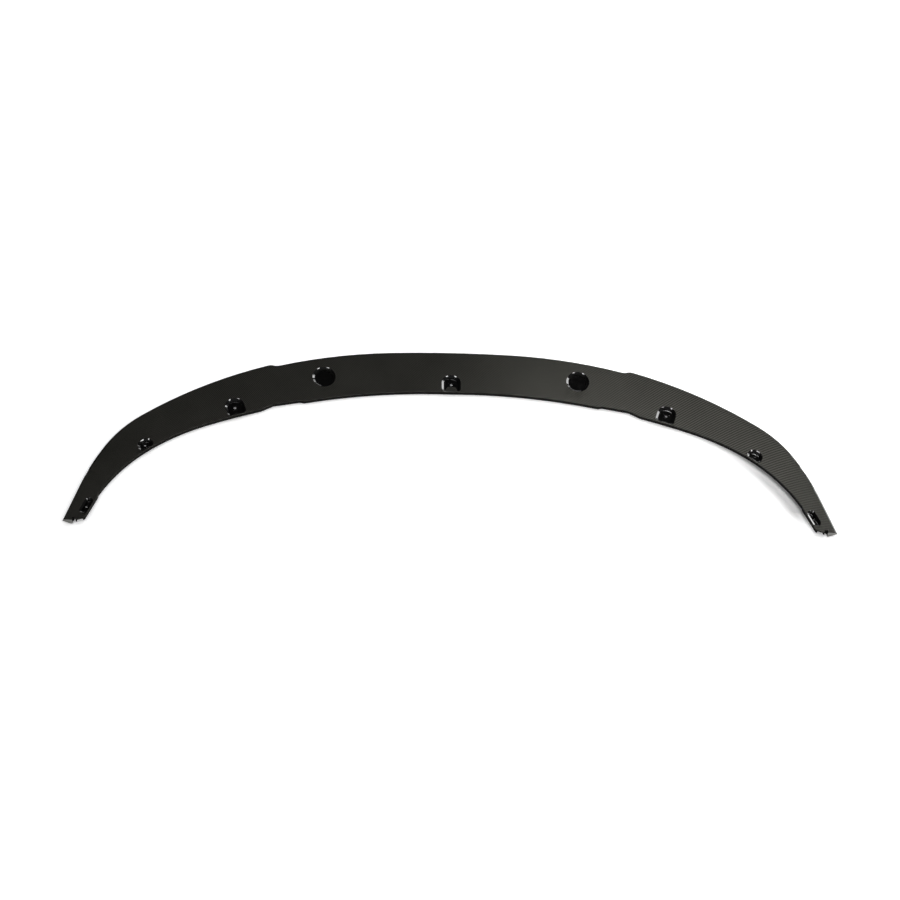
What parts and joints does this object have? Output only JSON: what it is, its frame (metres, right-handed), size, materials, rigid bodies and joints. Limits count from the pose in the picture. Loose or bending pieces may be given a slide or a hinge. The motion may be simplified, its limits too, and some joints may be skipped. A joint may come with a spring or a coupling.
{
  "type": "front splitter lip",
  "caption": "Crescent front splitter lip for a car: an open-backed carbon laminate shell with screw pockets sunk in its underside, fixed beneath the front bumper.",
  "frame": {"origin": "centre of the bounding box, on the plane the lip lies on, which is the outer face of its ledge", "axes": "+X along the span, +Y towards the convex leading edge, +Z out of the underside, so the lip lies upside down with the screw pockets facing up"},
  "size_m": [1.7, 0.4501, 0.018],
  "materials": {
    "carbon_laminate": "satin clear coat over twill-woven carbon fibre"
  },
  "bodies": {
    "root": {"splitter_lip": "carbon_laminate"}
  },
  "joints": []
}
